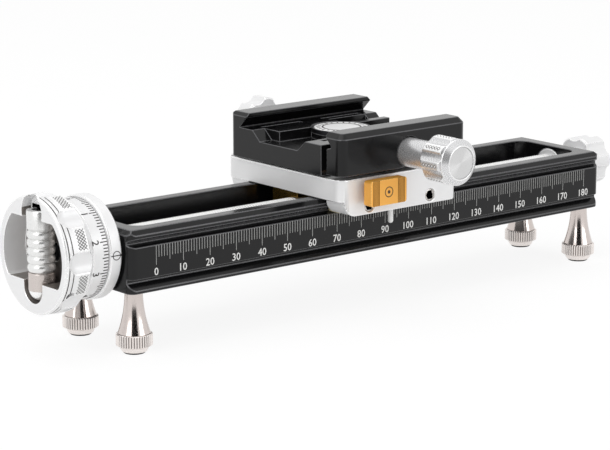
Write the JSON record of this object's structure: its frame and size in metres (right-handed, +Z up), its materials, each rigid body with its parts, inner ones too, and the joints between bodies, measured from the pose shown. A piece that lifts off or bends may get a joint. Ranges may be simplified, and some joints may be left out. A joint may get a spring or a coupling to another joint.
{
  "type": "macro focusing rail",
  "caption": "Hand-cranked dovetail rail on four feet with a graduated dial, a sliding carriage and a panning quick-release clamp for close-up camera work.",
  "frame": {"origin": "tripod thread in the middle of the rail's underside", "axes": "+X along the rail towards the drive lock knob, +Y away from the ruled side, +Z up"},
  "size_m": [0.2365, 0.0996, 0.0605],
  "materials": {
    "black_anodised": "satin black anodised aluminium",
    "silver_anodised": "bead blasted clear anodised aluminium",
    "gold_anodised": "gold anodised aluminium",
    "steel": "turned stainless steel",
    "dark_steel": "oiled steel",
    "brass": "turned brass",
    "pad_rubber": "matt black rubber",
    "bearing_polymer": "black acetal",
    "gib_polymer": "filled acetal",
    "white_paint": "white painted steel"
  },
  "bodies": {
    "rail": {"rail_frame": "black_anodised", "left_bearing_bush": "brass", "right_bearing_boss": "silver_anodised", "index_ring": "silver_anodised", "index_ring_screws": "dark_steel", "foot_front_left": "steel", "foot_front_right": "steel", "foot_rear_left": "steel", "foot_rear_right": "steel", "pad_front_left": "pad_rubber", "pad_front_right": "pad_rubber", "pad_rear_left": "pad_rubber", "pad_rear_right": "pad_rubber"},
    "drive": {"lead_screw": "steel", "hand_wheel": "silver_anodised", "dial_ring": "silver_anodised", "wheel_screw": "dark_steel", "crank_pivot_pin": "steel"},
    "crank": {"crank_arm": "steel", "crank_grip_screw": "dark_steel"},
    "grip": {"crank_grip": "silver_anodised"},
    "drive_lock": {"drive_lock_knob": "silver_anodised", "drive_lock_cap": "silver_anodised", "drive_lock_stud": "steel", "drive_lock_plug": "brass"},
    "carriage": {"carriage_plate": "silver_anodised", "front_gib": "gib_polymer", "rear_gib": "gib_polymer", "gib_set_screws": "steel", "index_pointer": "white_paint", "pan_slip_washer": "bearing_polymer", "pan_pivot_post": "silver_anodised", "pan_pivot_screw": "dark_steel"},
    "release": {"release_button": "gold_anodised", "release_bar": "brass", "half_nut": "brass", "half_nut_screws": "dark_steel"},
    "clamp": {"clamp_base": "black_anodised", "pan_bearing_ring": "bearing_polymer", "jaw_guide_pins": "steel"},
    "jaw": {"clamp_jaw": "black_anodised"},
    "jaw_knob": {"clamp_knob": "silver_anodised", "clamp_knob_cap": "silver_anodised", "clamp_screw": "steel"},
    "pan_lock": {"pan_lock_knob": "silver_anodised", "pan_lock_cap": "silver_anodised", "pan_lock_screw": "steel", "pan_lock_shoe": "brass"}
  },
  "joints": [
    {"name": "wheel_spin", "type": "hinge", "parent": "rail", "child": "drive", "pos_m": [-0.1091, 0, 0.012], "axis": [1, 0, 0], "range_deg": [-28090, 15490]},
    {"name": "carriage_slide", "type": "slide", "parent": "rail", "child": "carriage", "axis": [1, 0, 0], "range_m": [-0.043, 0.078]},
    {"name": "crank_fold", "type": "hinge", "parent": "drive", "child": "crank", "pos_m": [-0.117, 0, 0.0019], "axis": [0, -1, 0], "range_deg": [0, 90]},
    {"name": "grip_spin", "type": "hinge", "parent": "crank", "child": "grip", "pos_m": [-0.117, 0, 0.0162], "axis": [0, 0, 1], "continuous": true},
    {"name": "drive_lock_spin", "type": "hinge", "parent": "rail", "child": "drive_lock", "pos_m": [0.1058, 0, 0.012], "axis": [-1, 0, 0], "range_deg": [0, 90]},
    {"name": "button_press", "type": "slide", "parent": "carriage", "child": "release", "axis": [0, 1, 0], "range_m": [0, 0.0017], "stiffness_N_per_m": 400, "springref_m": -0.004},
    {"name": "clamp_pan", "type": "hinge", "parent": "carriage", "child": "clamp", "pos_m": [-0.0012, 0, 0.027], "axis": [0, 0, 1], "continuous": true},
    {"name": "jaw_slide", "type": "slide", "parent": "clamp", "child": "jaw", "axis": [0, 1, 0], "range_m": [0, 0.0024]},
    {"name": "clamp_knob_spin", "type": "hinge", "parent": "jaw", "child": "jaw_knob", "pos_m": [0.0004, -0.0305, 0.03265], "axis": [0, 1, 0], "range_deg": [0, 1081]},
    {"name": "pan_lock_spin", "type": "hinge", "parent": "clamp", "child": "pan_lock", "pos_m": [-0.0012, 0.0244, 0.03265], "axis": [0, -1, 0], "range_deg": [0, 90]}
  ],
  "couplings": [
    {"joint": "wheel_spin", "follows": "carriage_slide", "rad_per_m": -6283.2},
    {"joint": "clamp_knob_spin", "follows": "jaw_slide", "rad_per_m": 7854}
  ]
}
